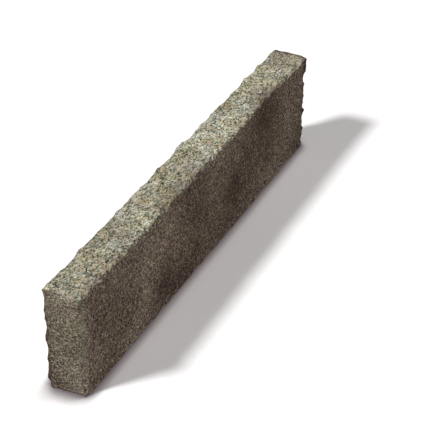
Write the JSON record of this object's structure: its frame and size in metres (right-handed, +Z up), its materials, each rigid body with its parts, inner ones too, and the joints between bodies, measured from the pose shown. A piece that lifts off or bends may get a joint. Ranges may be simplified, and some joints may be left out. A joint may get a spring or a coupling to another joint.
{
  "type": "granite kerb stone",
  "caption": "Long upright kerb stone of split granite: narrow rectangular section, rough faces, scalloped and chipped arrises, flat bed to stand on.",
  "frame": {"origin": "middle of the bed, which is the flat underside", "axes": "+X along the kerb, +Y through it from the front face to the back face, +Z up"},
  "size_m": [1.2994, 0.1102, 0.2991],
  "materials": {
    "granite": "split, matt, medium grained, greenish grey with beige and pink feldspar and black mica"
  },
  "bodies": {
    "root": {"kerb_stone": "granite"}
  },
  "joints": []
}
